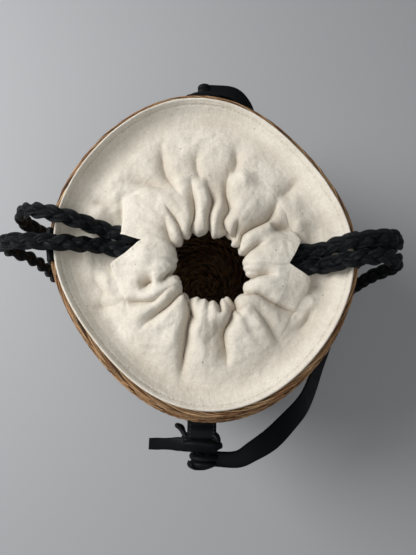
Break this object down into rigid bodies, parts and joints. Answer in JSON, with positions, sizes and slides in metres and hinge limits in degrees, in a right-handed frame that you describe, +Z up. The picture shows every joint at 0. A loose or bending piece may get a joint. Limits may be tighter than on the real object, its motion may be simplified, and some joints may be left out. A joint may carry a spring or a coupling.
{
  "type": "straw bucket bag",
  "caption": "Round woven straw bucket bag with a gathered canvas closure, braided leather drawcords over the rim and a knotted leather shoulder strap.",
  "frame": {"origin": "the middle of the base's underside, on the surface that the bag stands on", "axes": "+Z up, front (the strap's near knot) towards -Y, the shoulder strap lying down on the +X side"},
  "size_m": [0.3411, 0.3647, 0.2502],
  "materials": {
    "straw": "woven straw",
    "canvas": "unbleached cotton canvas",
    "cord_leather": "braided soft leather",
    "strap_leather": "smooth black leather"
  },
  "bodies": {
    "bag": {"basket_wall": "straw", "basket_base": "straw", "rim_border": "straw", "canvas_facing": "canvas", "collar_front": "canvas", "casing_front": "canvas", "drawcord_run_front": "cord_leather", "collar_rear": "canvas", "casing_rear": "canvas", "drawcord_run_rear": "cord_leather", "rim_guard_left": "strap_leather", "rim_guard_right": "strap_leather", "strap_tab_front": "strap_leather", "strap_tab_rear": "strap_leather", "tab_patch_front": "strap_leather", "tab_patch_rear": "strap_leather", "strap_knot_front": "strap_leather", "strap_knot_rear": "strap_leather"},
    "strap": {"shoulder_strap": "strap_leather"},
    "left_loop": {"drawcord_loop_left": "cord_leather"},
    "right_loop": {"drawcord_loop_right": "cord_leather"}
  },
  "joints": [
    {"name": "strap_swing", "type": "hinge", "parent": "bag", "child": "strap", "pos_m": [0, 0, 0.173], "axis": [0, -1, 0], "range_deg": [0, 150]},
    {"name": "left_loop_lift", "type": "hinge", "parent": "bag", "child": "left_loop", "pos_m": [-0.07508, 0.00618, 0.2321], "axis": [0.2588, 0.9659, 0], "range_deg": [0, 50]},
    {"name": "right_loop_lift", "type": "hinge", "parent": "bag", "child": "right_loop", "pos_m": [0.09015, -0.00973, 0.2321], "axis": [0.0698, -0.9976, 0], "range_deg": [0, 50]}
  ]
}
